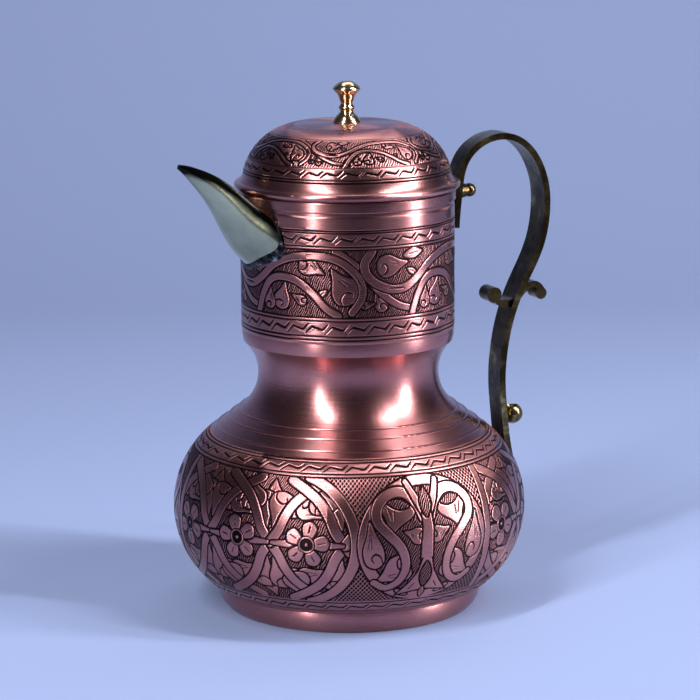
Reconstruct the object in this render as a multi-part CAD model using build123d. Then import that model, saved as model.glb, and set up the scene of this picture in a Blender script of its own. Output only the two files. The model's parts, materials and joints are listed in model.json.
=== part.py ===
from build123d import *
import os
from math import cos, hypot, pi, radians, sin, sqrt

# A lidded copper water jug. +Z is up, the origin is on the axis at the foot's bottom,
# the spout points along -X and the handle along +X. Millimetres throughout.

# ---- Driving dimensions ----------------------------------------------------------

sheet = 1.2  # copper sheet of the body, neck and foot
seat_gap = 0.35  # clearance between the lid's pieces and the neck

# Belly and waist: a bulging arc and a hollow arc, joined by a straight shoulder, whose slope
# sets how high the waist stands above the belly.
belly_arc_r = 47.5
belly_max_r = 86.6
belly_rise = 39.0  # from the foot's top to the belly's middle
shoulder_slope = 36.933  # degrees from level
waist_arc_r = 22.0
waist_min_r = 44.3
shoulder_rib_r = 0.8
shoulder_rib_proud = 0.5
shoulder_rib_places = (0.20, 0.61, 0.94)  # shares of the way up the shoulder

# Foot.
foot_height = 11.0
foot_seam_inset = 1.415  # how far inside the belly's outer face the foot's top edge meets it
foot_taper = 4.2  # how much narrower the foot is at its base
foot_bulge = 1.8  # how far the foot's side bows out from a straight cone
foot_lip = 1.5  # width of the ring that the jug stands on
base_disc_z = 3.2
base_disc_thick = 1.2
solder_fillet = 1.6

# Neck.
seam_rise = 16.1  # from the middle of the waist to the seam where the neck begins
neck_height = 74.2
neck_r = 52.0
neck_bottom_taper = 5.0  # height over which the neck closes down to the seam
hem_height = 5.3
hem_proud = 0.9
hem_edge_r = 0.7

# Strainer holes through the neck behind the spout: depth below the neck's top, number.
strainer_hole_r = 1.6
strainer_pitch_deg = 7.0
strainer_rows = ((25.3, 3), (19.8, 5), (14.3, 5), (9.0, 5))

# Lid.
lid_sheet = 0.9
lid_height = 31.9  # from the neck's top to the dome's
lid_flat_r = 17.0
lid_flare_inset = 1.1  # the dome ends and the flare begins this far inside the neck's face
lid_flare_height = 7.4  # above the neck's top
lid_dome_shares = (  # share of the way out, share of the way down
    (0.0, 0.0),
    (0.365, 0.062),
    (0.59, 0.196),
    (0.77, 0.40),
    (0.895, 0.633),
    (0.968, 0.86),
    (1.0, 1.0),
)
lid_wire_r = 1.1
lid_curl_sheet = 0.8
lid_overhang = 3.0  # how far the rim stands out from the neck's face
collar_sheet = 0.8
collar_depth = 11.0  # how far the collar reaches into the neck

# Knob.
knob_height = 20.1
knob_cap_r = 6.75
knob_base_r = 6.75
knob_waist_r = 3.1
knob_bead_r = 3.9
screw_r = 1.95
screw_clearance = 0.05
screw_head_r = 3.5
screw_head_height = 2.2
screw_length = 12.0
washer_r = 4.6
washer_thick = 0.8

# Spout: an open trough. Each station gives the middle of its mouth and the keel below it
# (distance out from the neck's face, height above its top) and half its width.
spout_stations = (
    ((-10.0, -14.8), (-5.5, -46.8), 25.6),
    ((0.5, -5.8), (2.8, -32.3), 22.6),
    ((6.6, 0.4), (11.6, -20.3), 17.6),
    ((13.6, 7.1), (19.0, -6.4), 12.6),
    ((21.6, 12.2), (25.8, 3.4), 7.4),
    ((29.2, 15.0), (31.4, 10.2), 3.6),
    ((34.4, 16.0), (35.3, 14.1), 1.5),
)
spout_wall_root = 1.5
spout_wall_tip = 0.65
spout_mouth_share = 0.88  # mouth width over greatest width, so that the sides lean in
spout_keel_share = 0.54  # width near the keel over greatest width
spout_bead_width = 1.7
spout_bead_proud = 1.4
spout_bead_gap = 0.02

# Handle: a strap whose root stands off the neck and whose foot stands off the belly. Its
# line and ornaments are drawn as (distance from the axis, height) between a first root and
# foot, then moved with the real ones.
handle_root_stand_off = 4.0
handle_root_drop = 22.8  # below the neck's top
handle_foot_stand_off = 1.76
handle_foot_rise = 16.5  # above the belly's middle
handle_line = (
    (56.0, 184.0),
    (56.5, 192.0),
    (57.5, 201.0),
    (58.5, 209.0),
    (60.7, 216.0),
    (65.6, 222.4),
    (73.0, 226.8),
    (81.0, 228.2),
    (89.0, 226.3),
    (96.2, 220.6),
    (101.6, 211.8),
    (104.6, 201.5),
    (105.1, 191.0),
    (103.9, 180.5),
    (101.0, 170.5),
    (96.8, 161.5),
    (91.8, 152.0),
    (87.4, 141.5),
    (84.3, 131.0),
    (82.3, 120.0),
    (81.3, 109.0),
    (81.5, 98.0),
    (82.4, 88.0),
    (83.4, 78.0),
    (85.4, 66.5),
)
handle_thick = 3.2
handle_half_widths = ((55.1, 5.8), (23.1, 6.8), (-4.9, 7.9))  # distance in from its outermost point
scroll_line = (
    (78.4, 146.4),
    (82.0, 143.8),
    (87.0, 144.2),
    (91.5, 147.6),
    (95.5, 151.4),
    (99.4, 152.6),
    (102.7, 150.8),
    (104.0, 147.6),
)
scroll_thick = 3.2
scroll_half_width = 5.0
scroll_curl = ((77.4, 148.6), 3.9)  # centre and radius of the curl on the jug's side
scroll_tip = ((103.4, 147.6), 3.0)  # centre and radius of the bulb on the outer side
bud_centre = (90.0, 86.2)
bud_r = 5.2
bud_cup_r = 3.7
bud_stem_r = 3.2
horn_root = (57.6, 201.6)
horn_length = 8.0
horn_root_r = 4.8
horn_tip_r = 2.7
horn_button_r = 3.4
root_pad_height = 15.0
root_pad_half_width = 4.6
foot_pad_height = 8.0
foot_pad_half_width = 5.0


# ---- Helpers ---------------------------------------------------------------------


def turned(*edges):
    """The solid that a closed outline of (radius, height) edges sweeps round the jug's axis."""
    return revolve(Plane.XZ * make_face(edges), Axis.Z)


def turned_polygon(*points):
    return turned(*Polyline(*points, close=True).edges())


def normals(points):
    """Unit normals to the left of a run of points, from the points on either side of each."""
    found = []
    for i in range(len(points)):
        a = points[max(i - 1, 0)]
        b = points[min(i + 1, len(points) - 1)]
        length = hypot(b[0] - a[0], b[1] - a[1])
        found.append((-(b[1] - a[1]) / length, (b[0] - a[0]) / length))
    return found


def beside(points, distance):
    """The same run of points, moved to its left."""
    return [(x + n[0] * distance, z + n[1] * distance) for (x, z), n in zip(points, normals(points))]


def strap(line, thick, half_width):
    """A flat strap in the XZ plane along a smooth line, as a solid of constant thickness."""
    left = Spline(*beside(line, thick / 2))
    right = Spline(*beside(line, -thick / 2))
    outline = make_face([left, Line(left @ 1, right @ 1), right, Line(right @ 0, left @ 0)])
    return extrude(Plane.XZ * outline, half_width, both=True)


def across(centre, radius, half_width):
    """A round bar along Y, centred on a point of the XZ plane."""
    bar = Cylinder(radius, 2 * half_width, rotation=(90, 0, 0))
    return Pos(centre[0], 0, centre[1]) * bar


def export(name, solid):
    solid.label = name
    export_step(solid, f"parts/{name}.step")


# ---- Body ------------------------------------------------------------------------

belly_mid_z = foot_height + belly_rise
belly_centre = (belly_max_r - belly_arc_r, belly_mid_z)
shoulder_out = (sin(radians(shoulder_slope)), cos(radians(shoulder_slope)))
waist_x = waist_min_r + waist_arc_r
waist_rise = (belly_arc_r + waist_arc_r - (waist_x - belly_centre[0]) * shoulder_out[0]) / shoulder_out[1]
waist_mid_z = belly_mid_z + waist_rise
waist_centre = (waist_x, waist_mid_z)
seam_z = waist_mid_z + seam_rise
neck_top_z = seam_z + neck_height
lid_top_z = neck_top_z + lid_height
lid_flare_z = neck_top_z + lid_flare_height
lid_flare_r = neck_r - lid_flare_inset


def belly_r(z, inset=0.0):
    """The belly's radius at a height, on the outer face or a distance inside it."""
    return belly_centre[0] + sqrt((belly_arc_r - inset) ** 2 - (z - belly_mid_z) ** 2)


def waist_r(z, inset=0.0):
    return waist_centre[0] - sqrt((waist_arc_r + inset) ** 2 - (z - waist_mid_z) ** 2)


def shoulder_end(centre, radius):
    """The end of the shoulder line on an arc: a negative radius means the hollow arc."""
    return (centre[0] + shoulder_out[0] * radius, centre[1] + shoulder_out[1] * radius)


def body_outline(inset):
    """Edges from the foot seam up to the neck seam, on the outer face or inside it."""
    start = (belly_r(foot_height, inset), foot_height)
    widest = (belly_max_r - inset, belly_mid_z)
    low = shoulder_end(belly_centre, belly_arc_r - inset)
    high = shoulder_end(waist_centre, -(waist_arc_r + inset))
    narrowest = (waist_min_r - inset, waist_mid_z)
    end = (waist_r(seam_z, inset), seam_z)
    return [ThreePointArc(start, widest, low), Line(low, high), ThreePointArc(high, narrowest, end)]


def body_block():
    """The body as if it were solid metal."""
    outer = body_outline(0)
    low = (0, foot_height)
    high = (0, seam_z)
    return turned(*outer, Line(outer[2] @ 1, high), Line(high, low), Line(low, outer[0] @ 0))


def make_body_shell():
    outer = body_outline(0)
    inner = body_outline(sheet)
    ends = [Line(outer[0] @ 0, inner[0] @ 0), Line(outer[2] @ 1, inner[2] @ 1)]
    shell = turned(*outer, *inner, *ends)
    low = shoulder_end(belly_centre, belly_arc_r)
    high = shoulder_end(waist_centre, -waist_arc_r)
    depth = shoulder_rib_r - shoulder_rib_proud
    for share in shoulder_rib_places:
        r = low[0] + (high[0] - low[0]) * share - shoulder_out[0] * depth
        z = low[1] + (high[1] - low[1]) * share - shoulder_out[1] * depth
        shell += Pos(0, 0, z) * Torus(r, shoulder_rib_r)
    return shell


# ---- Foot ------------------------------------------------------------------------

foot_top_r = belly_r(foot_height) - foot_seam_inset
foot_base_r = foot_top_r - foot_taper


def foot_arc(inset, base_inset):
    top = (foot_top_r - inset, foot_height)
    base = (foot_base_r - base_inset, 0)
    middle = ((top[0] + base[0]) / 2 + foot_bulge, foot_height / 2)
    return ThreePointArc(top, middle, base)


def make_foot_ring():
    outer = foot_arc(0, 0)
    inner = foot_arc(sheet, foot_lip)
    return turned(outer, inner, Line(outer @ 0, inner @ 0), Line(outer @ 1, inner @ 1))


def foot_inside():
    """Everything inside the foot ring's inner face."""
    inner = foot_arc(sheet, foot_lip)
    lid_line = Line(inner @ 0, (0, foot_height))
    base_line = Line(inner @ 1, (0, 0))
    return turned(inner, lid_line, base_line, Line((0, 0), (0, foot_height)))


def slice_between(low, high, inner_r=0.0):
    """A flat disc or washer, wide enough to reach past the foot."""
    slab = Pos(0, 0, (low + high) / 2) * Cylinder(foot_top_r + 5, high - low)
    if inner_r:
        slab -= Pos(0, 0, (low + high) / 2) * Cylinder(inner_r, high - low)
    return slab


def make_base_disc():
    return foot_inside() & slice_between(base_disc_z, base_disc_z + base_disc_thick)


def make_base_seam_solder():
    low = base_disc_z - solder_fillet
    edge_r = (foot_arc(sheet, foot_lip) @ 0.8).X
    return foot_inside() & slice_between(low, base_disc_z, edge_r - 2 * solder_fillet)


def make_foot_seam_solder(body_shell):
    inner_r = foot_top_r - sheet - 0.4
    outer_r = belly_r(foot_height, sheet / 2)
    ring = turned_polygon(
        (inner_r, foot_height),
        (outer_r, foot_height),
        (outer_r, foot_height + solder_fillet),
        (inner_r + 0.6, foot_height + solder_fillet),
    )
    return ring - body_shell


# ---- Neck ------------------------------------------------------------------------


def make_neck_shell():
    taper_z = seam_z + neck_bottom_taper
    foot_r = waist_r(seam_z)
    taper_mid = (foot_r + (neck_r - foot_r) * 0.75, seam_z + neck_bottom_taper / 2)
    hem_z = neck_top_z - hem_height
    hem_r = neck_r + hem_proud
    outer = [
        ThreePointArc((foot_r, seam_z), taper_mid, (neck_r, taper_z)),
        Line((neck_r, taper_z), (neck_r, hem_z)),
        Line((neck_r, hem_z), (hem_r, hem_z)),
        Line((hem_r, hem_z), (hem_r, neck_top_z)),
        Line((hem_r, neck_top_z), (neck_r - sheet, neck_top_z)),
    ]
    inner_mid = (taper_mid[0] - sheet, taper_mid[1])
    inner = [
        Line((neck_r - sheet, neck_top_z), (neck_r - sheet, taper_z)),
        ThreePointArc((neck_r - sheet, taper_z), inner_mid, (foot_r - sheet, seam_z)),
        Line((foot_r - sheet, seam_z), (foot_r, seam_z)),
    ]
    shell = turned(*outer, *inner)
    hem_edges = [e for e in shell.edges() if abs(e.length - 2 * pi * hem_r) < 0.01]
    shell = fillet(hem_edges, hem_edge_r)
    for depth, count in strainer_rows:
        for i in range(count):
            angle = 180 + (i - (count - 1) / 2) * strainer_pitch_deg
            drill = Cylinder(strainer_hole_r, 8 * sheet, rotation=(0, 90, 0))
            shell -= Rot(0, 0, angle) * Pos(neck_r, 0, neck_top_z - depth) * drill
    return shell


def make_waist_seam_solder(neck_shell):
    inner_r = waist_r(seam_z) - sheet - 0.9
    ring = turned_polygon(
        (inner_r + 0.4, seam_z),
        (waist_r(seam_z) - sheet / 2, seam_z),
        (neck_r - sheet, seam_z + 2 * solder_fillet),
        (inner_r + 0.8, seam_z + 2 * solder_fillet),
    )
    return ring - neck_shell


# ---- Lid -------------------------------------------------------------------------

lid_curl_r = lid_wire_r + lid_curl_sheet
lid_curl_centre = (neck_r + lid_overhang - lid_curl_r, neck_top_z + seat_gap + lid_curl_r)


def lid_dome_points():
    """The dome's outer face from the edge of the flat top down to the flare."""
    rise = lid_top_z - lid_flare_z
    span = lid_flare_r - lid_flat_r
    return [(lid_flat_r + span * out, lid_top_z - rise * down) for out, down in lid_dome_shares]


def make_lid_dome():
    outer = lid_dome_points()
    inner = beside(outer, -lid_sheet)
    inner[0] = (lid_flat_r, lid_top_z - lid_sheet)
    curl = lid_curl_centre
    reach = lid_wire_r + lid_curl_sheet / 2
    flare_end = (curl[0] + reach * cos(radians(75)), curl[1] + reach * sin(radians(75)))
    flare_inside = (curl[0] - reach * cos(radians(20)), curl[1] + reach * sin(radians(20)))
    slope = (outer[-1][0] - outer[-2][0], outer[-1][1] - outer[-2][1])
    dome = [Line((0, lid_top_z), outer[0]), Spline(*outer, tangents=[(1, 0), slope])]
    flare = Spline(outer[-1], flare_end, tangents=[slope, (1, -0.45)])
    under_flare = Spline(inner[-1], flare_inside, tangents=[slope, (0.7, -1)])
    under = [Spline(*inner, tangents=[(1, 0), slope]), Line(inner[0], (0, lid_top_z - lid_sheet))]
    axis_line = Line((0, lid_top_z - lid_sheet), (0, lid_top_z))
    edge_line = Line(flare_end, flare_inside)
    shell = turned(*dome, flare, edge_line, under_flare, *under, axis_line)
    shell += Pos(0, 0, curl[1]) * Torus(curl[0], lid_curl_r)
    shell -= Pos(0, 0, curl[1]) * Torus(curl[0], lid_wire_r + 0.01)
    shell -= Pos(0, 0, lid_top_z) * Cylinder(screw_r + screw_clearance, 4 * lid_sheet)
    return shell


def make_lid_rim_wire():
    return Pos(0, 0, lid_curl_centre[1]) * Torus(lid_curl_centre[0], lid_wire_r)


collar_r = neck_r - sheet - seat_gap


def make_lid_collar(lid_dome):
    low = neck_top_z - collar_depth
    collar = turned_polygon(
        (collar_r, low),
        (collar_r, lid_flare_z),
        (collar_r - collar_sheet, lid_flare_z),
        (collar_r - collar_sheet, low),
    )
    return collar - lid_dome


def make_lid_collar_solder(lid_dome):
    inner_r = collar_r - collar_sheet - 0.8
    ring = turned_polygon(
        (inner_r + 0.6, lid_flare_z),
        (lid_flare_r - lid_sheet / 2, lid_flare_z),
        (lid_flare_r - lid_sheet, lid_flare_z + solder_fillet),
        (inner_r + 0.4, lid_flare_z + solder_fillet),
    )
    return ring - lid_dome


def make_knob():
    z = lid_top_z
    h = knob_height
    outline = Spline(
        (knob_base_r, z + 0.6),
        (knob_base_r * 0.70, z + h * 0.18),
        (knob_waist_r * 1.03, z + h * 0.29),
        (knob_bead_r, z + h * 0.36),
        (knob_waist_r, z + h * 0.43),
        (knob_waist_r * 1.22, z + h * 0.575),
        (knob_cap_r * 0.72, z + h * 0.70),
        (knob_cap_r, z + h * 0.80),
        (knob_cap_r * 0.80, z + h * 0.90),
        (0, z + h),
        tangents=[(-0.5, 1), (-1, 0)],
    )
    base = [Line((0, z), (knob_base_r, z)), Line((knob_base_r, z), (knob_base_r, z + 0.6))]
    knob = turned(*base, outline, Line((0, z + h), (0, z)))
    bore_top = lid_top_z - lid_sheet - washer_thick + screw_length + 0.5
    depth = bore_top - z
    return knob - Pos(0, 0, z + depth / 2) * Cylinder(screw_r + screw_clearance, depth)


washer_top_z = lid_top_z - lid_sheet


def make_knob_washer():
    washer = Cylinder(washer_r, washer_thick) - Cylinder(screw_r + screw_clearance, washer_thick)
    return Pos(0, 0, washer_top_z - washer_thick / 2) * washer


def make_knob_screw():
    head_top = washer_top_z - washer_thick
    head = Pos(0, 0, head_top - screw_head_height / 2) * Cylinder(screw_head_r, screw_head_height)
    slot_depth = screw_head_height / 2
    slot = Pos(0, 0, head_top - screw_head_height) * Box(2 * screw_head_r, 0.9, slot_depth)
    shank = Pos(0, 0, head_top + screw_length / 2) * Cylinder(screw_r, screw_length)
    return head - slot + shank


# ---- Spout -----------------------------------------------------------------------


def trough_plane(station):
    """The plane of a section: its origin is the middle of the mouth, and the keel is straight below."""
    (mouth_out, mouth_up), (keel_out, keel_up), _ = station
    mouth = Vector(-neck_r - mouth_out, 0, neck_top_z + mouth_up)
    up = mouth - Vector(-neck_r - keel_out, 0, neck_top_z + keel_up)
    return Plane(origin=mouth, x_dir=(0, 1, 0), z_dir=Vector(0, 1, 0).cross(up.normalized())), up.length


def trough_curve(half, depth):
    """From one side of the mouth round the keel to the other."""
    mouth = half * spout_mouth_share
    side = half * spout_keel_share
    points = [(-mouth, 0), (-half, -0.27 * depth), (-side, -0.80 * depth)]
    return Spline(*points, (0, -depth), *[(-y, z) for y, z in reversed(points)])


def trough_block(grow=0.0):
    """The trough as if it were filled to the brim, or a little more all round."""
    sections = []
    for station in spout_stations:
        plane, depth = trough_plane(station)
        curve = trough_curve(station[2] + grow, depth + grow)
        sections.append(plane * make_face([curve, Line(curve @ 1, curve @ 0)]))
    return loft(sections)


def trough_shell():
    sections = []
    last = len(spout_stations) - 1
    for i, station in enumerate(spout_stations):
        wall = spout_wall_root + (spout_wall_tip - spout_wall_root) * i / last
        plane, depth = trough_plane(station)
        outer = trough_curve(station[2], depth)
        inner = trough_curve(station[2] - wall, depth - wall)
        rims = [Line(outer @ 0, inner @ 0), Line(outer @ 1, inner @ 1)]
        sections.append(plane * make_face([outer, inner, *rims]))
    return loft(sections)


def neck_core(radius):
    """A cylinder round the jug's axis, tall enough to pass the whole spout."""
    return Pos(0, 0, neck_top_z / 2 + 50) * Cylinder(radius, neck_top_z + 100)


def make_spout(neck_shell):
    return trough_shell() - neck_core(neck_r) - neck_shell


def make_spout_solder(neck_shell):
    band = neck_core(neck_r + spout_bead_proud) - neck_core(neck_r)
    below_rim = Pos(-neck_r, 0, neck_top_z + spout_stations[1][0][1] - 30) * Box(60, 120, 60)
    bead = trough_block(spout_bead_width) & band & below_rim
    return bead - trough_block(spout_bead_gap) - neck_shell


# ---- Handle ----------------------------------------------------------------------


handle_foot_z = belly_mid_z + handle_foot_rise
handle_root = (neck_r + handle_root_stand_off, neck_top_z - handle_root_drop)
handle_foot = (belly_r(handle_foot_z) + handle_foot_stand_off, handle_foot_z)


def on_handle(point):
    """Where a drawn point of the handle goes: with its root at the top, with its foot at the
    bottom, and with a share of each between them."""
    drawn_root, drawn_foot = handle_line[0], handle_line[-1]
    share = (point[1] - drawn_foot[1]) / (drawn_root[1] - drawn_foot[1])
    share = min(max(share, 0), 1)
    x, z = (
        point[i] + (handle_root[i] - drawn_root[i]) * share + (handle_foot[i] - drawn_foot[i]) * (1 - share)
        for i in (0, 1)
    )
    return (x, z)


def make_handle():
    line = [on_handle(p) for p in handle_line]
    widest = max(w for _, w in handle_half_widths)
    band = strap(line, handle_thick, widest + 4)
    reach = max(x for x, _ in line)
    sides = [(reach - x, w) for x, w in handle_half_widths]
    sides += [(x, -w) for x, w in reversed(sides)]
    plan = extrude(make_face(Polyline(*sides, close=True).edges()), neck_top_z + lid_height + 30)
    handle = band & plan
    handle += strap([on_handle(p) for p in scroll_line], scroll_thick, scroll_half_width)
    for centre, radius in (scroll_curl, scroll_tip):
        handle += across(on_handle(centre), radius, scroll_half_width)
    bud_x, bud_z = on_handle(bud_centre)
    bud = Pos(bud_x, 0, bud_z) * Sphere(bud_r)
    cup = Pos(bud_x - 0.6, 0, bud_z + bud_r + 0.4) * Sphere(bud_cup_r)
    stem_root_x = line[-3][0]
    stem_length = bud_x - stem_root_x
    stem = Pos((stem_root_x + bud_x) / 2, 0, bud_z) * Cylinder(bud_stem_r, stem_length, rotation=(0, 90, 0))
    handle += bud + stem - cup
    horn_x, horn_z = on_handle(horn_root)
    horn = Pos(horn_x + horn_length / 2, 0, horn_z)
    horn *= Cone(horn_root_r, horn_tip_r, horn_length, rotation=(0, 90, 0))
    button = Pos(horn_x + horn_length, 0, horn_z) * Sphere(horn_button_r)
    handle += horn + button
    return handle


def make_handle_top_solder(handle):
    root_x, root_z = handle_root
    inner_x = neck_r - sheet
    pad = Box(root_x - inner_x, 2 * root_pad_half_width, root_pad_height)
    pad = Pos((root_x + inner_x) / 2, 0, root_z + root_pad_height / 2) * pad
    return pad - neck_core(neck_r) - handle


def make_handle_foot_solder(handle):
    end_x, end_z = handle_foot
    inner_x = belly_r(end_z + foot_pad_height, sheet)
    pad = Box(end_x - inner_x, 2 * foot_pad_half_width, foot_pad_height)
    pad = Pos((end_x + inner_x) / 2, 0, end_z + foot_pad_height / 2) * pad
    return pad - body_block() - handle


# ---- Build and export ------------------------------------------------------------


def main():
    os.makedirs("parts", exist_ok=True)
    body_shell = make_body_shell()
    neck_shell = make_neck_shell()
    lid_dome = make_lid_dome()
    handle = make_handle()
    export("body_shell", body_shell)
    export("neck_shell", neck_shell)
    export("foot_ring", make_foot_ring())
    export("base_disc", make_base_disc())
    export("base_seam_solder", make_base_seam_solder())
    export("foot_seam_solder", make_foot_seam_solder(body_shell))
    export("waist_seam_solder", make_waist_seam_solder(neck_shell))
    export("lid_dome", lid_dome)
    export("lid_rim_wire", make_lid_rim_wire())
    export("lid_collar", make_lid_collar(lid_dome))
    export("lid_collar_solder", make_lid_collar_solder(lid_dome))
    export("knob", make_knob())
    export("knob_washer", make_knob_washer())
    export("knob_screw", make_knob_screw())
    export("spout", make_spout(neck_shell))
    export("spout_solder", make_spout_solder(neck_shell))
    export("handle", handle)
    export("handle_top_solder", make_handle_top_solder(handle))
    export("handle_foot_solder", make_handle_foot_solder(handle))


main()
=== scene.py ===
import json
from math import ceil, cos, hypot, radians, sin, tau

import bpy
import numpy as np
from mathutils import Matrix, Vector


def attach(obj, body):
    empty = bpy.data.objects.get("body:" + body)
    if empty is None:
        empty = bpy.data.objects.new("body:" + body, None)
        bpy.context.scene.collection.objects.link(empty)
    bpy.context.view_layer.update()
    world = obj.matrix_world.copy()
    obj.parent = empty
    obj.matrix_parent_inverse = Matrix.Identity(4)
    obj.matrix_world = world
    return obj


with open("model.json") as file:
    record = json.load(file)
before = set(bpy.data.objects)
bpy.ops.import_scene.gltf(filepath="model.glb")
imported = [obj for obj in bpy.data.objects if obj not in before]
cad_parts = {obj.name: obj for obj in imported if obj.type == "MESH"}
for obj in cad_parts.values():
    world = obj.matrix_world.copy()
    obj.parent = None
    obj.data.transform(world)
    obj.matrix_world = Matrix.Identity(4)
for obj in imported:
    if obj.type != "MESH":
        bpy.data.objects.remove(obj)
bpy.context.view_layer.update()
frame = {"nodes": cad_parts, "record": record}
nodes = frame["nodes"]

# The copper water jug: engraved skins over the spun copper, cast brass spout and handle,
# solder, and the studio round them. Lengths of the jug are in millimetres until a mesh is
# made; angles round the jug are in degrees from +X, towards +Y.

MM = 0.001
BAKE_MAP = "OFBake"

# ---- Sizes that the looks share with the frame -----------------------------------

NECK_R = 52.0
NECK_SKIN = (138.4, 200.6)  # heights that the neck's engraved skin covers
BELLY_ARC_R = 47.5
BELLY_CENTRE = (39.1, 50.0)  # distance from the axis, height
BELLY_SKIN = (12.6, 88.0)
LID_DOME = (  # the dome's outer face, distance from the axis and height
    (17.0, 238.7),
    (29.4, 237.2),
    (37.0, 233.9),
    (43.1, 228.9),
    (47.3, 223.2),
    (49.8, 217.6),
    (50.9, 214.2),
)
SPOUT_ROOT = (184.0, 25.2, 13.2)  # height, half width and half height of its hole in the skin

MOUTH = (  # the line of the spout's mouth, distance from the axis and height
    (42.0, 192.0),
    (52.5, 201.0),
    (58.6, 207.2),
    (65.6, 213.9),
    (73.6, 219.0),
    (81.2, 221.8),
    (86.4, 222.8),
)
MOUTH_FRAME = (100.0, 300.0)  # the distance and height that the mouth's curve is drawn in

SKIN_RISE = 0.26  # how far plain metal in a skin stands over the CAD face
CUT_DEPTH = 0.22
BURR_HEIGHT = 0.10  # metal pushed up beside a cut
SKIN_EDGE = 1.6  # length over which a skin runs out to nothing at its border

CAMERA_AZIMUTH = 247.0  # 23 degrees from -Y towards -X
CAMERA_DISTANCE = 1400.0
CAMERA_HEIGHT = 406.0
CAMERA_PITCH = 11.3
CAMERA_ROLL = -0.35
CAMERA_LENS = 149.4
CAMERA_SHIFT = 0.0026

coarse = 1.0
PLATE_STEP = 0.2 * coarse
SKIN_STEP = 0.34 * coarse
LINE = 0.78  # width of an outline cut
FAR = 9.0  # a distance greater than any that a cut's edge needs


# ---- Curves ----------------------------------------------------------------------


def smooth(points, closed=False, steps=7):
    """A Catmull-Rom curve through some points."""
    p = np.array(points, float)
    if closed:
        p = np.vstack([p[-1], p, p[0], p[1]])
    else:
        p = np.vstack([2 * p[0] - p[1], p, 2 * p[-1] - p[-2]])
    t = (np.arange(steps) / steps)[:, None]
    runs = []
    for a, b, c, d in zip(p, p[1:], p[2:], p[3:]):
        cubic = (-a + 3 * b - 3 * c + d) * t**3 + (2 * a - 5 * b + 4 * c - d) * t**2
        runs.append((cubic + (c - a) * t + 2 * b) / 2)
    if not closed:
        runs.append(p[-2:-1])
    return np.vstack(runs)


def placed(points, at, angle=0.0, size=1.0, flip=False):
    """Points drawn round the origin, moved to a place on a plate."""
    p = np.array(points, float) * (size, -size if flip else size)
    c, s = cos(radians(angle)), sin(radians(angle))
    return p @ np.array([(c, s), (-s, c)]) + at


def arc(centre, radius, start, end, steps=24):
    a = np.radians(np.linspace(start, end, steps))
    return np.array(centre, float) + np.column_stack([np.cos(a), np.sin(a)]) * radius


def to_segment(x, y, a, b):
    """Distance from each point to a segment, and how far along it the nearest place is."""
    d = b - a
    along = ((x - a[0]) * d[0] + (y - a[1]) * d[1]) / max(d @ d, 1e-12)
    along = np.clip(along, 0, 1)
    return np.hypot(x - a[0] - along * d[0], y - a[1] - along * d[1]), along


# ---- Plates: engraved patterns, unrolled -----------------------------------------


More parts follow.
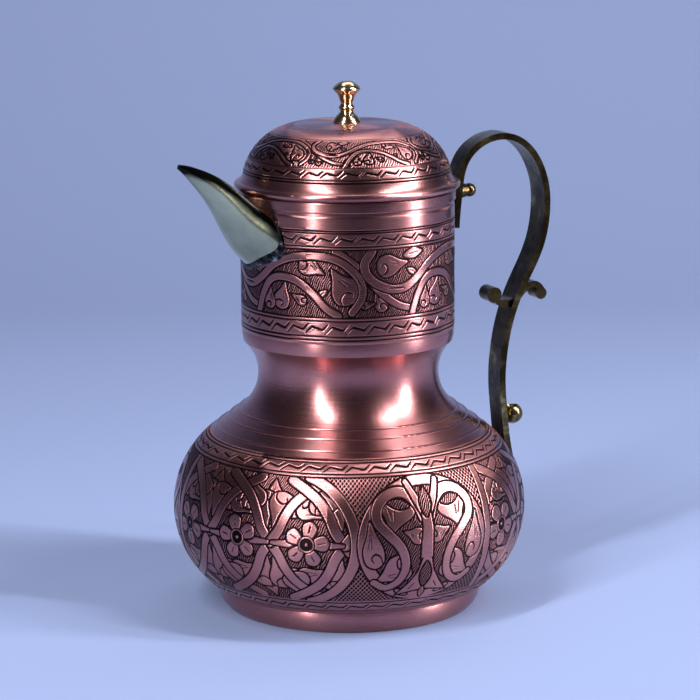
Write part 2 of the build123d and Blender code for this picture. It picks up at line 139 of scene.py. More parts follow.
class Plate:
    """One repeat of a pattern, unrolled. ink is 0 on plain metal and 1 in a full cut.
    The pattern repeats sideways, so what leaves on one side comes back on the other."""

    def __init__(self, width, height):
        self.size = (width, height)
        self.columns = ceil(width / PLATE_STEP)
        self.rows = ceil(height / PLATE_STEP)
        self.ink = np.zeros((self.rows, self.columns))

    def grid(self, points, margin):
        """The cells round some points: their indexes and their places."""
        dx = self.size[0] / self.columns
        dy = self.size[1] / self.rows
        low = points.min(0) - margin
        high = points.max(0) + margin
        j = np.arange(int(low[0] // dx), int(high[0] // dx) + 2)
        i = np.arange(max(int(low[1] // dy), 0), min(int(high[1] // dy) + 2, self.rows))
        x, y = np.meshgrid((j + 0.5) * dx, (i + 0.5) * dy)
        return np.ix_(i, j % self.columns), x, y

    def ground(self, pattern):
        """Fills the whole plate from a function of place."""
        x, y = np.meshgrid(
            (np.arange(self.columns) + 0.5) * self.size[0] / self.columns,
            (np.arange(self.rows) + 0.5) * self.size[1] / self.rows,
        )
        self.ink = pattern(x, y)

    def stamp(self, where, field, line):
        """Draws a shape from its signed distance: plain inside, with a cut along its edge."""
        ink = self.ink[where] * np.clip(field / PLATE_STEP + 0.5, 0, 1)
        edge = np.clip((line / 2 - np.abs(field)) / PLATE_STEP + 0.5, 0, 1)
        self.ink[where] = np.maximum(ink, edge)

    def ribbon(self, path, width, tip=None, line=LINE):
        """A plain band along a path, whose width may run to another at its end."""
        path = np.array(path, float)
        halves = np.linspace(width, width if tip is None else tip, len(path)) / 2
        field = np.full(self.ink.shape, FAR)
        for a, b, half, next_half in zip(path, path[1:], halves, halves[1:]):
            where, x, y = self.grid(np.array([a, b]), half + 2 * line)
            distance, along = to_segment(x, y, a, b)
            distance = distance - half - (next_half - half) * along
            field[where] = np.minimum(field[where], distance)
        self.stamp(np.ix_(*map(range, self.ink.shape)), field, line)

    def cut(self, path, line=LINE):
        """A single engraved line that thins out at both ends."""
        path = np.array(path, float)
        share = np.linspace(-1, 1, len(path))
        halves = line / 2 * (1 - 0.6 * share**2)
        for a, b, half in zip(path, path[1:], halves):
            where, x, y = self.grid(np.array([a, b]), 2 * line)
            distance, _ = to_segment(x, y, a, b)
            mark = np.clip((half - distance) / PLATE_STEP + 0.5, 0, 1)
            self.ink[where] = np.maximum(self.ink[where], mark)

    def shape(self, outline, line=LINE, fill=None):
        """A closed plain shape, or one filled by a function of place."""
        outline = np.array(outline, float)
        where, x, y = self.grid(outline, 2 * line)
        field = np.full(x.shape, FAR)
        inside = np.zeros(x.shape, bool)
        for a, b in zip(outline, np.roll(outline, -1, 0)):
            distance, _ = to_segment(x, y, a, b)
            field = np.minimum(field, distance)
            if a[1] != b[1]:
                crosses = (a[1] > y) != (b[1] > y)
                inside ^= crosses & (x < a[0] + (y - a[1]) * (b[0] - a[0]) / (b[1] - a[1]))
        field = np.where(inside, -field, field)
        self.stamp(where, field, line)
        if fill is not None:
            filled = np.maximum(self.ink[where], fill(x, y))
            self.ink[where] = np.where(field < 0, filled, self.ink[where])

    def sample(self, x, y):
        """ink at any places, the rows clipped and the columns wrapped."""
        u = x / self.size[0] * self.columns - 0.5
        v = np.clip(y / self.size[1] * self.rows - 0.5, 0, self.rows - 1.001)
        j = np.floor(u).astype(int)
        i = np.floor(v).astype(int)
        fu, fv = u - j, v - i
        j0, j1 = j % self.columns, (j + 1) % self.columns
        low = self.ink[i, j0] * (1 - fu) + self.ink[i, j1] * fu
        high = self.ink[i + 1, j0] * (1 - fu) + self.ink[i + 1, j1] * fu
        return low * (1 - fv) + high * fv


def hatch(angle, pitch, share=0.5, floor=0.1):
    """A ground of parallel cuts, not quite even, as a hand tool leaves them. floor is how
    dark the ground is between them."""

    def pattern(x, y):
        c, s = cos(radians(angle)), sin(radians(angle))
        across = x * s - y * c + 0.22 * np.sin(y * 0.9 + x * 0.35) + 0.12 * np.sin(x * 2.1)
        wave = np.abs((across / pitch) % 1 - 0.5) * 2
        return floor + (1 - floor) * np.clip((share - wave) * 2.4 + 0.5, 0, 1)

    return pattern


def net(pitch):
    """Crossed cuts: dark lozenges between two sets of thin bright lines."""

    def pattern(x, y):
        one = np.abs(((x + y * 0.8) / pitch) % 1 - 0.5) * 2
        two = np.abs(((x - y * 0.8) / pitch) % 1 - 0.5) * 2
        return np.clip((np.minimum(1 - one, 1 - two) - 0.2) * 5, 0.08, 1)

    return pattern


# ---- Motifs ----------------------------------------------------------------------

# Outlines of unit length along x, from the stalk.
LEAF = (
    (0.0, 0.0),
    (0.28, 0.17),
    (0.58, 0.38),
    (0.88, 0.34),
    (1.0, 0.03),
    (0.88, -0.26),
    (0.60, -0.30),
    (0.28, -0.13),
)
LEAF_CURL = ((0.93, -0.20), (0.76, -0.16), (0.68, 0.0), (0.76, 0.13), (0.86, 0.08))
ALMOND = ((0.0, 0.0), (0.3, 0.19), (0.65, 0.20), (1.0, 0.0), (0.65, -0.20), (0.3, -0.19))
PETAL = ((0.10, 0.0), (0.42, 0.27), (0.80, 0.33), (1.0, 0.0), (0.80, -0.33), (0.42, -0.27))


def leaf(plate, at, angle, length, flip=False, fat=1.0):
    """A comma leaf from its stalk, with a curl in its head and two short cuts on its back."""

    def drawn(points):
        return placed([(x, y * fat) for x, y in points], at, angle, length, flip)

    plate.shape(smooth(drawn(LEAF), closed=True))
    plate.cut(smooth(drawn(LEAF_CURL)))
    for low in (0.06, 0.18):
        plate.cut(drawn(((0.34, low * 0.4), (0.56, low + 0.03))), LINE)


def almond(plate, at, angle, length, fill=None):
    plate.shape(smooth(placed(ALMOND, at, angle, length), closed=True), fill=fill)
    if fill is None:
        plate.cut(placed(((0.3, 0.0), (0.7, 0.0)), at, angle, length), LINE)


def flower(plate, at, radius, petals=5, turn=0.0):
    for k in range(petals):
        angle = turn + 360 / petals * k
        plate.shape(smooth(placed(PETAL, at, angle, radius), closed=True))
        plate.cut(placed(((0.52, 0.0), (0.80, 0.0)), at, angle, radius), LINE * 1.3)
    plate.shape(arc(at, radius * 0.36, 0, 345), line=0.4)
    plate.shape(arc(at, radius * 0.24, 0, 345), fill=lambda x, y: np.ones_like(x))
    plate.shape(arc(at, radius * 0.09, 0, 345, 12), line=0.3)


# ---- Patterns --------------------------------------------------------------------

ZIGZAG = ((0.02, 0.02), (0.30, 0.62), (0.42, 0.66), (0.84, 0.42), (0.98, 0.62), (1.14, 0.98))


def zigzag_plate(pitch, height):
    """Flattened Z strokes that overlap end to end."""
    plate = Plate(pitch * 2, height)
    for k in range(2):
        stroke = [((x + k) * pitch, (0.12 + 0.76 * y) * height) for x, y in ZIGZAG]
        plate.cut(smooth(stroke), LINE * 1.15)
    return plate


VINE_SIZE = (82.0, 32.0)
VINE = (  # round the small loop, along the bottom and over the large one
    (11.4, 31.5),
    (8.0, 25.2),
    (10.7, 18.3),
    (19.4, 13.4),
    (27.9, 13.2),
    (35.6, 17.5),
    (43.3, 23.8),
    (53.0, 28.0),
    (66.0, 29.3),
    (77.0, 27.6),
    (85.4, 21.1),
    (88.9, 14.4),
    (88.2, 8.3),
    (84.0, 2.2),
)
CROSSING = ((76.7, 31.5), (86.0, 24.2), (92.5, 17.2), (99.5, 10.2), (107.5, 4.8), (117.0, 2.4))
HOOK = (
    (32.5, 0.0),
    (36.2, 9.5),
    (41.4, 16.4),
    (48.8, 18.6),
    (57.5, 16.6),
    (65.5, 10.6),
    (71.5, 4.4),
    (77.5, 0.8),
)
VINE_LEAVES = (  # stalk, heading, length, flipped, fatness
    ((74.0, 23.6), -60, 20.0, False, 1.05),
    ((71.4, 20.6), 158, 14.5, True, 1.0),
    ((50.6, 16.6), -108, 14.5, False, 0.95),
    ((53.4, 10.6), -24, 9.5, True, 0.8),
    ((30.6, 25.6), 190, 17.0, True, 0.95),
    ((41.4, 13.4), -98, 11.5, False, 0.9),
    ((12.4, 14.6), -66, 13.5, True, 0.7),
    ((95.6, 6.4), 190, 8.0, True, 0.8),
)
VINE_ALMONDS = (  # stalk, heading, length
    ((27.0, 28.6), 8, 12.5),
    ((29.2, 22.4), -25, 8.0),
    ((4.4, 4.0), 60, 8.0),
    ((66.0, 8.6), 35, 8.0),
)


def vine_plate(width, height, ground):
    """A vine that loops back on itself: bulbs in its loops and small leaves outside them."""
    plate = Plate(width, height)
    plate.ground(ground)
    wide, high = width / VINE_SIZE[0], height / VINE_SIZE[1]

    def fitted(points):
        return [(x * wide, y * high) for x, y in points]

    for at, angle, length in VINE_ALMONDS:
        almond(plate, *fitted([at]), angle, length * high)
    for at, angle, length, flip, fat in VINE_LEAVES:
        leaf(plate, *fitted([at]), angle, length * high, flip, fat=fat)
    plate.ribbon(smooth(fitted(CROSSING)), 4.8 * high, 3.6 * high)
    plate.ribbon(smooth(fitted(HOOK)), 4.2 * high)
    plate.ribbon(smooth(fitted(VINE)), 4.8 * high, 4.0 * high)
    for low, high_end in ((3, 5), (10, 12)):
        plate.cut(smooth(fitted(VINE[low:high_end])), LINE)
    return plate


TREE_BRANCH = (
    (1.5, 44.0),
    (4.6, 51.0),
    (10.5, 56.2),
    (18.0, 56.2),
    (24.2, 50.6),
    (24.6, 43.4),
    (19.6, 37.2),
    (14.4, 31.5),
    (11.4, 25.0),
    (11.2, 18.0),
    (14.5, 12.0),
    (20.5, 9.2),
    (26.2, 12.6),
)
TREE_LEAVES = (  # stalk, heading, length, flipped, fatness, for the right side
    ((28.6, 44.0), -99, 24.0, False, 0.62),
    ((25.0, 13.0), 146, 18.5, False, 1.2),
    ((18.6, 36.6), 112, 20.0, True, 1.3),
    ((12.6, 38.0), 196, 12.0, False, 1.0),
)


def tree_medallion(plate, x, half, height, ground):
    """A forked stem in an oval ring, with curling leaves on both sides and netted corners.
    The lattice's last oval swells towards the ring on its left."""
    middle = height / 2
    reach = half - 3.4
    a = np.radians(np.linspace(0, 360, 73))
    ring = np.column_stack([x + np.cos(a) * reach, middle + np.sin(a) * (middle - 2.4)])
    bow = np.radians(np.linspace(-72, 72, 31))
    oval_x = x - 2 * half + np.cos(bow) * (half + 0.2)
    oval = np.column_stack([oval_x, middle + np.sin(bow) * (middle + 2.0)])
    left_side = [(oval[0][0], -2), *oval, (oval[-1][0], height + 2)]
    edge = x + half + 1.5
    plate.shape([*left_side, (edge, height + 2), (edge, -2)], line=0.4, fill=net(2.2))
    plate.shape(ring[:-1], fill=ground)
    plate.ribbon([(edge, -3), (edge, height + 3)], 5.0)
    plate.ribbon(oval, 5.6)
    plate.ribbon(ring, 6.0)
    for side in (-1, 1):
        for at, angle, length, flip, fat in TREE_LEAVES:
            heading = angle if side > 0 else 180 - angle
            leaf(plate, (x + side * at[0], at[1]), heading, length, flip == (side > 0), fat=fat)
        plate.ribbon(smooth([(x + side * u, v) for u, v in TREE_BRANCH]), 6.2, 4.2)
        top = 12 if side > 0 else 168
        almond(plate, (x + side * 8.4, 49.6), top, 11.5, fill=ground)
        plate.ribbon(smooth([(x, 44.0), (x + side * 4.4, 52.0), (x + side * 8.6, 61.5)]), 5.0, 3.6)
        almond(plate, (x + side * 7.6, 3.4), 90 - side * 62, 9.0)
    plate.ribbon(smooth([(x, 18.0), (x - 0.3, 30.0), (x + 0.3, 38.0), (x, 45.0)]), 7.0, 5.6)
    skirt = [(0.0, 6.4), (6.0, 5.4), (14.8, 3.8), (8.6, 11.0), (4.4, 17.4), (2.6, 24.0)]
    plate.shape([(x + u, v) for u, v in skirt] + [(x - u, v) for u, v in skirt[:0:-1]])
    plate.shape([(x - 2.0, 21.5), (x + 2.0, 21.5), (x + 2.0, 26.5), (x - 2.0, 26.5)], line=0.0)
    for side in (-1, 1):
        plate.cut(((x + side * 5.4, 10.4), (x + side * 8.0, 7.0)), LINE * 1.4)
    almond(plate, (x, 43.6), 90, 15.0, fill=ground)
    almond(plate, (x, 7.6), 90, 15.0, fill=ground)
    almond(plate, (x, 0.6), 90, 7.8)


LATTICE_ARM = ((0.0, 0.0), (4.4, 6.2), (7.6, 13.5), (12.0, 20.0), (18.6, 25.4), (27.5, 30.6))


def lattice_panel(plate, left, right, height, cells=3):
    """Ribbons that cross over flowers, tied at half height, with bulbs in every gap."""
    middle = height / 2
    pitch = (right - left) / cells
    stretch = pitch / 36.0
    for k in range(cells + 1):
        x = left + pitch * k
        for up in (-1, 1):
            leaf(plate, (x - 0.6, middle + up * 30.6), -90 * up + 8, 14.0, up > 0, fat=1.2)
            for side in (-1, 1):
                heading = 90 * up - side * up * 14
                leaf(plate, (x + side * 1.6, middle + up * 6.0), heading, 19.0, side * up > 0, fat=1.15)
    for k in range(cells):
        x = left + pitch * (k + 0.5)
        for up in (-1, 1):
            for side in (-1, 1):
                at = (x + side * 9.6, middle + up * 12.4)
                leaf(plate, at, 90 * up + side * up * 56, 16.0, side * up < 0, fat=1.2)
            leaf(plate, (x + up * 4.0, middle + up * 29.6), 90 * up + 196, 16.0, up < 0, fat=1.3)
    for k in range(cells + 1):
        x = left + pitch * k
        for up in (-1, 1):
            for side in (-1, 1):
                arm = [(x + side * u * stretch, middle + up * v) for u, v in LATTICE_ARM]
                plate.ribbon(smooth(arm), 5.4)
    for k in range(cells):
        x = left + pitch * (k + 0.5)
        for side in (-1, 1):
            plate.ribbon(((x + side * (pitch / 2 - 1.0), middle), (x + side * 7.0, middle)), 2.4, 4.6)
        flower(plate, (x, middle), 11.4, 5, 54 - 24 * k)


def belly_plate(width, height):
    plate = Plate(width, height)
    ground = hatch(64, 1.1, 0.46, 0.16)
    plate.ground(ground)
    half, pitch = 35.0, 37.0
    lattice_panel(plate, width - 5 - 3 * pitch, width - 5, height)
    tree_medallion(plate, half, half, height, ground)
    return plate


# ---- Skins: engraved metal over the CAD faces ------------------------------------


SLOPE_STEP = 0.6  # the lid's slope is taken over this length each way
WOBBLE = 0.01  # unevenness of the hammered face


class ArcProfile:
    """The belly's face, by length up it from its widest place."""

    def __init__(self, centre, radius):
        self.centre, self.radius = centre, radius

    def length_at(self, z):
        return self.radius * np.arcsin((z - self.centre[1]) / self.radius)

    def place(self, length):
        a = length / self.radius
        r = self.centre[0] + self.radius * np.cos(a)
        z = self.centre[1] + self.radius * np.sin(a)
        return r, z, np.cos(a), np.sin(a)


class StraightProfile:
    """The neck's face."""

    def __init__(self, radius):
        self.radius = radius

    def length_at(self, z):
        return z

    def place(self, length):
        return np.full_like(length, self.radius), length, np.ones_like(length), np.zeros_like(length)


class SplineProfile:
    """The lid's face from its flare up to its flat top, as a curve with its ends' slopes."""

    def __init__(self, points, start, end):
        p = np.array(points, float)
        steps = np.hypot(*np.diff(p, axis=0).T)
        n = len(p)
        rows = np.eye(n)
        values = np.zeros((n, 2))
        values[0] = np.array(start) / hypot(*start)
        values[-1] = np.array(end) / hypot(*end)
        for i in range(1, n - 1):
            a, b = steps[i - 1], steps[i]
            rows[i, i - 1 : i + 2] = (b, 2 * (a + b), a)
            values[i] = 3 * (b * (p[i] - p[i - 1]) / a + a * (p[i + 1] - p[i]) / b)
        slopes = np.linalg.solve(rows, values)
        fine = []
        for i in range(n - 1):
            t = np.linspace(0, 1, 60, endpoint=i == n - 2)[:, None]
            hermite = (2 * t**3 - 3 * t**2 + 1) * p[i] + (3 * t**2 - 2 * t**3) * p[i + 1]
            pull = (t**3 - 2 * t**2 + t) * slopes[i] + (t**3 - t**2) * slopes[i + 1]
            fine.append(hermite + pull * steps[i])
        self.fine = np.vstack(fine)
        self.lengths = np.concatenate([[0], np.cumsum(np.hypot(*np.diff(self.fine, axis=0).T))])

    def length_at(self, z):
        return np.interp(z, self.fine[:, 1], self.lengths)

    def place(self, length):
        r = np.interp(length, self.lengths, self.fine[:, 0])
        z = np.interp(length, self.lengths, self.fine[:, 1])
        low, high = length - SLOPE_STEP, length + SLOPE_STEP
        dr, dz = (
            np.interp(high, self.lengths, self.fine[:, k]) - np.interp(low, self.lengths, self.fine[:, k])
            for k in (0, 1)
        )
        size = np.hypot(dr, dz)
        return r, z, dz / size, -dr / size


def blurred(field, reach):
    """field, averaged over a small square, with plain edges."""
    for axis in (0, 1):
        total = np.zeros_like(field)
        for shift in range(-reach, reach + 1):
            total += np.roll(field, shift, axis)
        field = total / (2 * reach + 1)
    return field


def skin_piece(name, body, profile, span, degrees, bands, rings, hole=None):
    """One sector of engraved skin. bands are (low z, high z, plate, repeats round the jug,
    first angle) and rings are (z, width, strength)."""
    low, high = profile.length_at(span[0]), profile.length_at(span[1])
    rows = ceil((high - low) / SKIN_STEP) + 1
    length = np.linspace(low, high, rows)
    r, z, nr, nz = profile.place(length)
    columns = ceil(radians(degrees[1] - degrees[0]) * r.max() / SKIN_STEP) + 1
    angle = np.linspace(degrees[0], degrees[1], columns)
    ink = np.zeros((rows, columns))
    for band_low, band_high, plate, repeats, first in bands:
        a, b = profile.length_at(band_low), profile.length_at(band_high)
        inside = (length >= a) & (length <= b)
        y = (length[inside] - a) / (b - a) * plate.size[1]
        x = (angle - first) / 360 * repeats * plate.size[0]
        grid_x, grid_y = np.meshgrid(x, y)
        ink[inside] = plate.sample(grid_x, grid_y)
    for ring_z, width, strength in rings:
        distance = np.abs(length - profile.length_at(ring_z))
        mark = np.clip((width / 2 - distance) / SKIN_STEP + 0.5, 0, 1) * strength
        ink = np.maximum(ink, mark[:, None])
    wobble = np.sin(np.radians(angle) * 5)[None, :] * WOBBLE
    rise = SKIN_RISE - CUT_DEPTH * ink + BURR_HEIGHT * np.maximum(blurred(ink, 2) - ink, 0) + wobble
    run_out = np.clip(np.minimum(length - low, high - length) / SKIN_EDGE, 0, 1)
    rise = (rise + 0.1) * (run_out * run_out * (3 - 2 * run_out))[:, None] - 0.1
    radius = r[:, None] + rise * nr[:, None]
    height = z[:, None] + rise * nz[:, None]
    a = np.radians(angle)[None, :]
    points = np.stack([radius * np.cos(a), radius * np.sin(a), height + 0 * a], -1) * MM
    cell_row, cell_column = np.mgrid[0 : rows - 1, 0 : columns - 1]
    if hole is not None:
        mid_z = (z[:-1] + z[1:])[:, None] / 2
        mid_angle = (angle[:-1] + angle[1:])[None, :] / 2
        keep = ~hole(mid_angle, mid_z)
        cell_row, cell_column = cell_row[keep], cell_column[keep]
    first = (cell_row * columns + cell_column).ravel()
    quads = np.stack([first, first + 1, first + columns + 1, first + columns], -1)
    skin_mesh(name, body, points.reshape(-1, 3), quads, ink.ravel(), (rows, columns))


def skin_mesh(name, body, points, quads, ink, shape):
    """Makes the piece from the points that its faces use, with ink on each of them."""
    used = np.unique(quads)
    renumber = np.zeros(len(points), int)
    renumber[used] = np.arange(len(used))
    quads = renumber[quads]
    mesh = bpy.data.meshes.new(name)
    mesh.vertices.add(len(used))
    mesh.vertices.foreach_set("co", points[used].ravel().astype(np.float32))
    mesh.loops.add(quads.size)
    mesh.loops.foreach_set("vertex_index", quads.ravel().astype(np.int32))
    mesh.polygons.add(len(quads))
    mesh.polygons.foreach_set("loop_start", np.arange(0, quads.size, 4, dtype=np.int32))
    mesh.update(calc_edges=True)
    mesh.attributes.new("ink", "FLOAT", "POINT").data.foreach_set("value", ink[used].astype(np.float32))
    row, column = np.divmod(used, shape[1])
    place = np.column_stack([column / (shape[1] - 1), row / (shape[0] - 1)])
    layer = mesh.uv_layers.new(name=BAKE_MAP)
    layer.data.foreach_set("uv", place[quads.ravel()].ravel().astype(np.float32))
    mesh.polygons.foreach_set("use_smooth", np.ones(len(quads), bool))
    piece = bpy.data.objects.new(name, mesh)
    bpy.context.scene.collection.objects.link(piece)
    piece.data.materials.append(COPPER)
    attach(piece, body)


# ---- Materials -------------------------------------------------------------------


class Graph:
    """A material's nodes, with short calls for the ones used here."""

    def __init__(self, name):
        self.material = bpy.data.materials.new(name)
        self.material.use_nodes = True
        self.tree = self.material.node_tree
        self.shader = self.tree.nodes["Principled BSDF"]

    def node(self, kind, **values):
        made = self.tree.nodes.new(kind)
        for key, value in values.items():
            setattr(made, key, value)
        return made

    def link(self, source, target):
        self.tree.links.new(source, target)

    def noise(self, scale, detail=4.0, stretch=(1, 1, 1), roughness=0.55):
        """Noise in the object's own space, in metres, stretched along its axes."""
        place = self.node("ShaderNodeTexCoord")
        mapping = self.node("ShaderNodeMapping")
        mapping.inputs["Scale"].default_value = stretch
        noise = self.node("ShaderNodeTexNoise")
        noise.inputs["Scale"].default_value = scale
        noise.inputs["Detail"].default_value = detail
        noise.inputs["Roughness"].default_value = roughness
        self.link(place.outputs["Object"], mapping.inputs["Vector"])
        self.link(mapping.outputs["Vector"], noise.inputs["Vector"])
        return noise.outputs["Fac"]

    def ramp(self, source, stops):
        ramp = self.node("ShaderNodeValToRGB")
        elements = ramp.color_ramp.elements
        while len(elements) < len(stops):
            elements.new(0.5)
        for element, (place, colour) in zip(elements, stops):
            element.position = place
            element.color = colour if len(colour) == 4 else (*colour, 1)
        self.link(source, ramp.inputs["Fac"])
        return ramp.outputs["Color"]

    def mix(self, share, one, two):
        """Two colours, by a share from 0 to 1."""
        mix = self.node("ShaderNodeMix", data_type="RGBA")
        for value, socket in ((share, 0), (one, 6), (two, 7)):
            if isinstance(value, tuple):
                mix.inputs[socket].default_value = (*value, 1)
            elif isinstance(value, float):
                mix.inputs[socket].default_value = value
            else:
                self.link(value, mix.inputs[socket])
        return mix.outputs[2]

    def math(self, operation, one, two, third=None):
        node = self.node("ShaderNodeMath", operation=operation)
        for socket, value in enumerate((one, two, third)):
            if value is None:
                continue
            if isinstance(value, (int, float)):
                node.inputs[socket].default_value = value
            else:
                self.link(value, node.inputs[socket])
        return node.outputs[0]

    def below_mouth(self):
        """How far a point lies below the line of the spout's mouth, in metres."""
        place = self.node("ShaderNodeTexCoord")
        split = self.node("ShaderNodeSeparateXYZ")
        self.link(place.outputs["Object"], split.inputs["Vector"])
        curve = self.node("ShaderNodeFloatCurve")
        points = curve.mapping.curves[0].points
        for _ in range(len(MOUTH) - 2):
            points.new(0.5, 0.5)
        for point, (out, height) in zip(points, MOUTH):
            point.location = (out / MOUTH_FRAME[0], height / MOUTH_FRAME[1])
        curve.mapping.update()
        out = self.math("MULTIPLY", split.outputs["X"], -1 / (MOUTH_FRAME[0] * MM))
        self.link(out, curve.inputs["Value"])
        mouth = self.math("MULTIPLY", curve.outputs["Value"], MOUTH_FRAME[1] * MM)
        return self.math("SUBTRACT", mouth, split.outputs["Z"])

    def bump(self, height, strength, distance):
        bump = self.node("ShaderNodeBump")
        bump.inputs["Strength"].default_value = strength
        bump.inputs["Distance"].default_value = distance
        self.link(height, bump.inputs["Height"])
        self.link(bump.outputs["Normal"], self.shader.inputs["Normal"])


def metal(graph, anisotropic=0.0):
    graph.shader.inputs["Metallic"].default_value = 1.0
    graph.shader.inputs["Anisotropic"].default_value = anisotropic
    if anisotropic:
        graph.shader.inputs["Anisotropic Rotation"].default_value = 0.25
        tangent = graph.node("ShaderNodeTangent", direction_type="RADIAL", axis="Z")
        graph.link(tangent.outputs["Tangent"], graph.shader.inputs["Tangent"])


def copper_material(name, engraved):
    """Rose copper, lathe-brushed round the jug, with black patina in the cuts."""
    graph = Graph(name)
    metal(graph, 0.8)
    blotch = graph.noise(16.0, 3.0)
    plain = graph.ramp(
        blotch,
        (
            (0.30, (0.38, 0.150, 0.150)),
            (0.52, (0.45, 0.195, 0.190)),
            (0.74, (0.54, 0.260, 0.240)),
        ),
    )
    brush = graph.noise(90.0, 5.0, stretch=(0.25, 0.25, 22.0), roughness=0.7)
    colour = graph.mix(graph.math("MULTIPLY", brush, 0.35), plain, (0.25, 0.085, 0.10))
    smudge = graph.noise(42.0, 5.0)
    roughness = graph.math("MULTIPLY_ADD", brush, 0.14, 0.17)
    roughness = graph.math("MULTIPLY_ADD", smudge, 0.10, roughness)
    if engraved:
        ink = graph.node("ShaderNodeAttribute", attribute_name="ink").outputs["Fac"]
        dark = graph.ramp(ink, ((0.10, (0, 0, 0)), (0.62, (1, 1, 1))))
        colour = graph.mix(dark, colour, (0.012, 0.006, 0.008))
        roughness = graph.math("MULTIPLY_ADD", ink, 0.25, roughness)
    graph.link(colour, graph.shader.inputs["Base Color"])
    graph.link(roughness, graph.shader.inputs["Roughness"])
    graph.bump(brush, 0.10, 0.0004)
    return graph.material


def cast_brass_material():
    """Pale tinned brass, polished on the flats and nearly black where the file hasn't reached."""
    graph = Graph("cast brass")
    metal(graph)
    patch = graph.noise(60.0, 6.0, roughness=0.65)
    colour = graph.ramp(
        patch,
        (
            (0.42, (0.030, 0.021, 0.010)),
            (0.56, (0.115, 0.080, 0.035)),
            (0.70, (0.50, 0.42, 0.22)),
        ),
    )
    roughness = graph.math("MULTIPLY_ADD", patch, -0.30, 0.42)
    graph.link(colour, graph.shader.inputs["Base Color"])
    graph.link(roughness, graph.shader.inputs["Roughness"])
    grain = graph.noise(900.0, 3.0)
    graph.bump(grain, 0.16, 0.0003)
    return graph.material


PAINTED_RIM_REFLECTION = ((0.52, (0, 0, 0)), (0.74, (1, 1, 1)))  # painted dark reflection: dark to this far below the mouth, in cm


def spout_material():
    """The trough's metal: paler and smoother than the handle, with a painted dark reflection along its
    rim.
    """
    graph = Graph("spout brass")
    metal(graph)
    patch = graph.noise(26.0, 4.0)
    colour = graph.ramp(patch, ((0.34, (0.28, 0.29, 0.20)), (0.62, (0.50, 0.53, 0.38))))
    below = graph.below_mouth()
    edge = graph.math("MULTIPLY_ADD", graph.noise(120.0, 3.0), 0.003, below)
    # painted reflection: a near-black band below the mouth stands for the dark room mirrored in the curved
    # rim
    painted_dark_reflection = graph.ramp(graph.math("MULTIPLY", edge, 100.0), PAINTED_RIM_REFLECTION)
    colour = graph.mix(painted_dark_reflection, (0.012, 0.012, 0.011), colour)
    roughness = graph.math("MULTIPLY_ADD", patch, 0.10, 0.20)
    graph.link(colour, graph.shader.inputs["Base Color"])
    graph.link(roughness, graph.shader.inputs["Roughness"])
    graph.bump(graph.noise(260.0, 4.0), 0.10, 0.0004)
    return graph.material


def knob_material():
    graph = Graph("turned brass")
    metal(graph, 0.3)
    rings = graph.noise(120.0, 4.0, stretch=(0.3, 0.3, 14.0))
    colour = graph.ramp(rings, ((0.30, (0.56, 0.38, 0.19)), (0.70, (0.80, 0.62, 0.38))))
    roughness = graph.math("MULTIPLY_ADD", rings, 0.16, 0.08)
    graph.link(colour, graph.shader.inputs["Base Color"])
    graph.link(roughness, graph.shader.inputs["Roughness"])
    graph.bump(rings, 0.12, 0.0003)
    return graph.material


def solder_material():
    graph = Graph("solder")
    metal(graph)
    patch = graph.noise(330.0, 5.0)
    colour = graph.ramp(
        patch,
        (
            (0.44, (0.01, 0.01, 0.011)),
            (0.60, (0.07, 0.07, 0.075)),
            (0.74, (0.50, 0.51, 0.52)),
        ),
    )
    roughness = graph.math("MULTIPLY_ADD", patch, -0.25, 0.42)
    graph.link(colour, graph.shader.inputs["Base Color"])
    graph.link(roughness, graph.shader.inputs["Roughness"])
    graph.bump(graph.noise(420.0, 4.0), 0.8, 0.0008)
    return graph.material


def stage_material(name, colour, roughness):
    graph = Graph(name)
    shade = graph.noise(1.2, 2.0)
    tint = graph.mix(shade, tuple(c * 0.97 for c in colour), colour)
    graph.link(tint, graph.shader.inputs["Base Color"])
    graph.shader.inputs["Roughness"].default_value = roughness
    return graph.material


COPPER = copper_material("engraved copper", True)
PLAIN_COPPER = copper_material("plain copper", False)


def dress_cad_nodes():
    """Every CAD node that stays visible gets its material."""
    cast, spout = cast_brass_material(), spout_material()
    brass, solder = knob_material(), solder_material()
    choice = {"copper": PLAIN_COPPER, "cast_brass": cast, "turned_brass": brass, "solder": solder}
    for part in frame["record"]["subparts"]:
        material = spout if part["node"] == "spout" else choice[part["material_slot"]]
        mesh = nodes[part["node"]].data
        mesh.materials.clear()
        mesh.materials.append(material)
    rounded = nodes["handle"].modifiers.new("worn edges", "BEVEL")
    rounded.width = 0.7 * MM
    rounded.segments = 2
    rounded.limit_method = "ANGLE"
    rounded.angle_limit = radians(40)


# ---- Engraved bands --------------------------------------------------------------


def repeats_of(pitch, radius):
    """How many whole repeats of about this pitch go round a circle."""
    return max(round(tau * radius / pitch), 1)


def double_line(low, high):
    return [(low, 0.75, 0.9), (high, 0.75, 0.9)]


def engrave_neck():
    pitch, vine_repeats = 9.9, 4
    count = repeats_of(pitch, NECK_R)
    strokes = zigzag_plate(pitch, 5.2)
    vine = vine_plate(tau * NECK_R / vine_repeats, 32.0, hatch(66, 1.0, 0.46, 0.14))
    bands = [
        (186.3, 191.7, strokes, count / 2, 0.0),
        (152.2, 183.9, vine, vine_repeats, CAMERA_AZIMUTH),
        (143.3, 149.7, strokes, count / 2, 6.0),
    ]
    rings = double_line(192.2, 193.3) + double_line(184.3, 185.8) + double_line(150.2, 151.9)
    rings += double_line(141.0, 142.8)

    def behind_spout(angle, z):
        across = NECK_R * np.radians(angle - 180)
        up = (z - SPOUT_ROOT[0]) / SPOUT_ROOT[2]
        return (across / SPOUT_ROOT[1]) ** 2 + np.maximum(up, -1.2) ** 2 * (up < 0) < 1

    def hole(angle, z):
        return behind_spout(angle, z) & (z < NECK_SKIN[1] + 9)

    for k in range(4):
        sector = (45 + 90 * k, 135 + 90 * k)
        skin_piece(f"neck_skin_{k}", "jug", StraightProfile(NECK_R), NECK_SKIN, sector, bands, rings, hole)


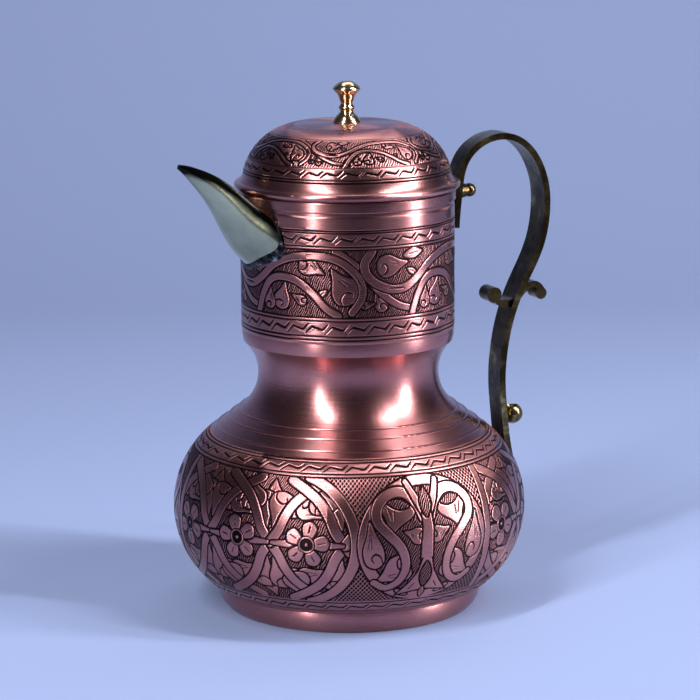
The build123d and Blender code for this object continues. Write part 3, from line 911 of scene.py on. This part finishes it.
MEDALLION_TURN = 25.3  # degrees from the camera to a medallion's middle
MEDALLION_MIDDLE = 23.2  # degrees from the pattern's start to the medallion's middle


def engrave_belly():
    profile = ArcProfile(BELLY_CENTRE, BELLY_ARC_R)
    widest = BELLY_CENTRE[0] + BELLY_ARC_R
    repeats = 3
    height = profile.length_at(79.9) - profile.length_at(20.2)
    pattern = belly_plate(tau * widest / repeats, height)
    strokes = zigzag_plate(10.6, 5.0)
    thin = zigzag_plate(9.0, 4.6)
    bands = [
        (81.5, 85.7, strokes, repeats_of(10.6, 75) / 2, 0.0),
        (20.2, 79.9, pattern, repeats, CAMERA_AZIMUTH + MEDALLION_TURN - MEDALLION_MIDDLE),
        (14.4, 18.8, thin, repeats_of(9.0, 67) / 2, 0.0),
    ]
    rings = double_line(85.9, 87.0) + double_line(80.1, 81.5) + [(19.3, 0.8, 1.0), (14.0, 0.6, 0.8)]
    for k in range(6):
        sector = (60 * k, 60 * k + 60)
        skin_piece(f"belly_skin_{k}", "jug", profile, BELLY_SKIN, sector, bands, rings)


def engrave_lid():
    outline = LID_DOME[::-1]
    end = (outline[0][0] - LID_DOME[-2][0], outline[0][1] - LID_DOME[-2][1])
    profile = SplineProfile(outline, (-end[0], -end[1]), (-1, 0))
    repeats = 5
    vine = vine_plate(tau * 43.5 / repeats, 15.4, hatch(66, 1.1, 0.30, 0.04))
    strokes = zigzag_plate(9.4, 4.2)
    bands = [
        (222.9, 233.8, vine, repeats, CAMERA_AZIMUTH - 30.0),
        (217.4, 221.7, strokes, repeats_of(9.4, 49) / 2, 3.0),
    ]
    rings = [(222.3, 0.6, 0.7), (216.9, 0.7, 0.9), (215.6, 0.9, 0.9), (234.2, 0.6, 0.5)]
    for k in range(3):
        sector = (120 * k, 120 * k + 120)
        skin_piece(f"lid_skin_{k}", "lid", profile, (214.4, 238.2), sector, bands, rings)


# ---- Studio ----------------------------------------------------------------------


def beside_camera(turn, distance, height):
    """A place at an angle round the jug from the camera, in metres."""
    a = radians(CAMERA_AZIMUTH + turn)
    return Vector((distance * cos(a), distance * sin(a), height))


def softbox(name, place, target, size, power):
    light = bpy.data.lights.new(name, "AREA")
    light.shape = "RECTANGLE"
    light.size, light.size_y = size
    light.energy = power
    holder = bpy.data.objects.new(name, light)
    holder.location = place
    holder.rotation_euler = (Vector(target) - place).to_track_quat("-Z", "Y").to_euler()
    bpy.context.scene.collection.objects.link(holder)


def backdrop():
    """A pale sheet: its front edge hangs off the table, and it sweeps up behind the jug."""
    front, bend, back, top, half = -0.42, 0.9, 1.7, 3.4, 3.0
    run = [(front, -0.9), (front, -0.02), (front + 0.02, 0.0), (back - bend, 0.0)]
    run += [(back - bend + bend * sin(a), bend - bend * cos(a)) for a in np.radians(np.arange(6, 90, 6))]
    run += [(back, bend), (back, top)]
    away = beside_camera(180, 1.0, 0)
    sideways = Vector((-away.y, away.x, 0))
    points = []
    for distance, height in run:
        for side in (-half, half):
            points.append(away * distance + sideways * side + Vector((0, 0, height)))
    faces = [(2 * i, 2 * i + 1, 2 * i + 3, 2 * i + 2) for i in range(len(run) - 1)]
    mesh = bpy.data.meshes.new("backdrop")
    mesh.from_pydata(points, [], faces)
    mesh.polygons.foreach_set("use_smooth", np.ones(len(faces), bool))
    piece = bpy.data.objects.new("backdrop", mesh)
    bpy.context.scene.collection.objects.link(piece)
    piece.data.materials.append(stage_material("paper", (0.180, 0.226, 0.385), 0.75))


def studio():
    backdrop()
    middle = (0, 0, 0.12)
    softbox("left box", beside_camera(-36, 1.5, 0.75), middle, (0.12, 1.3), 23)
    softbox("right box", beside_camera(76, 1.4, 0.70), middle, (0.15, 1.3), 34)
    softbox("left top", beside_camera(-32, 1.1, 1.5), middle, (0.07, 0.8), 20)
    softbox("right top", beside_camera(66, 1.1, 1.5), middle, (0.07, 0.8), 20)
    softbox("back wash", beside_camera(165, 0.9, 2.2), beside_camera(180, 1.5, 0.3), (2.0, 0.8), 20)
    world = bpy.data.worlds.new("studio")
    bpy.context.scene.world = world
    world.use_nodes = True
    sky = world.node_tree.nodes["Background"]
    sky.inputs["Color"].default_value = (0.55, 0.58, 0.80, 1)
    sky.inputs["Strength"].default_value = 0.07
    bpy.context.scene.view_settings.view_transform = "Standard"


def camera():
    data = bpy.data.cameras.new("camera")
    data.lens = CAMERA_LENS
    data.sensor_width = 36
    data.shift_x = CAMERA_SHIFT
    data.clip_end = 50
    holder = bpy.data.objects.new("camera", data)
    holder.location = beside_camera(0, CAMERA_DISTANCE * MM, CAMERA_HEIGHT * MM)
    holder.rotation_mode = "XYZ"
    turn = CAMERA_AZIMUTH - 270
    holder.rotation_euler = (radians(90 - CAMERA_PITCH), 0, radians(turn))
    holder.rotation_euler.rotate_axis("Z", radians(CAMERA_ROLL))
    bpy.context.scene.collection.objects.link(holder)
    bpy.context.scene.camera = holder


dress_cad_nodes()
engrave_neck()
engrave_belly()
engrave_lid()
studio()
camera()
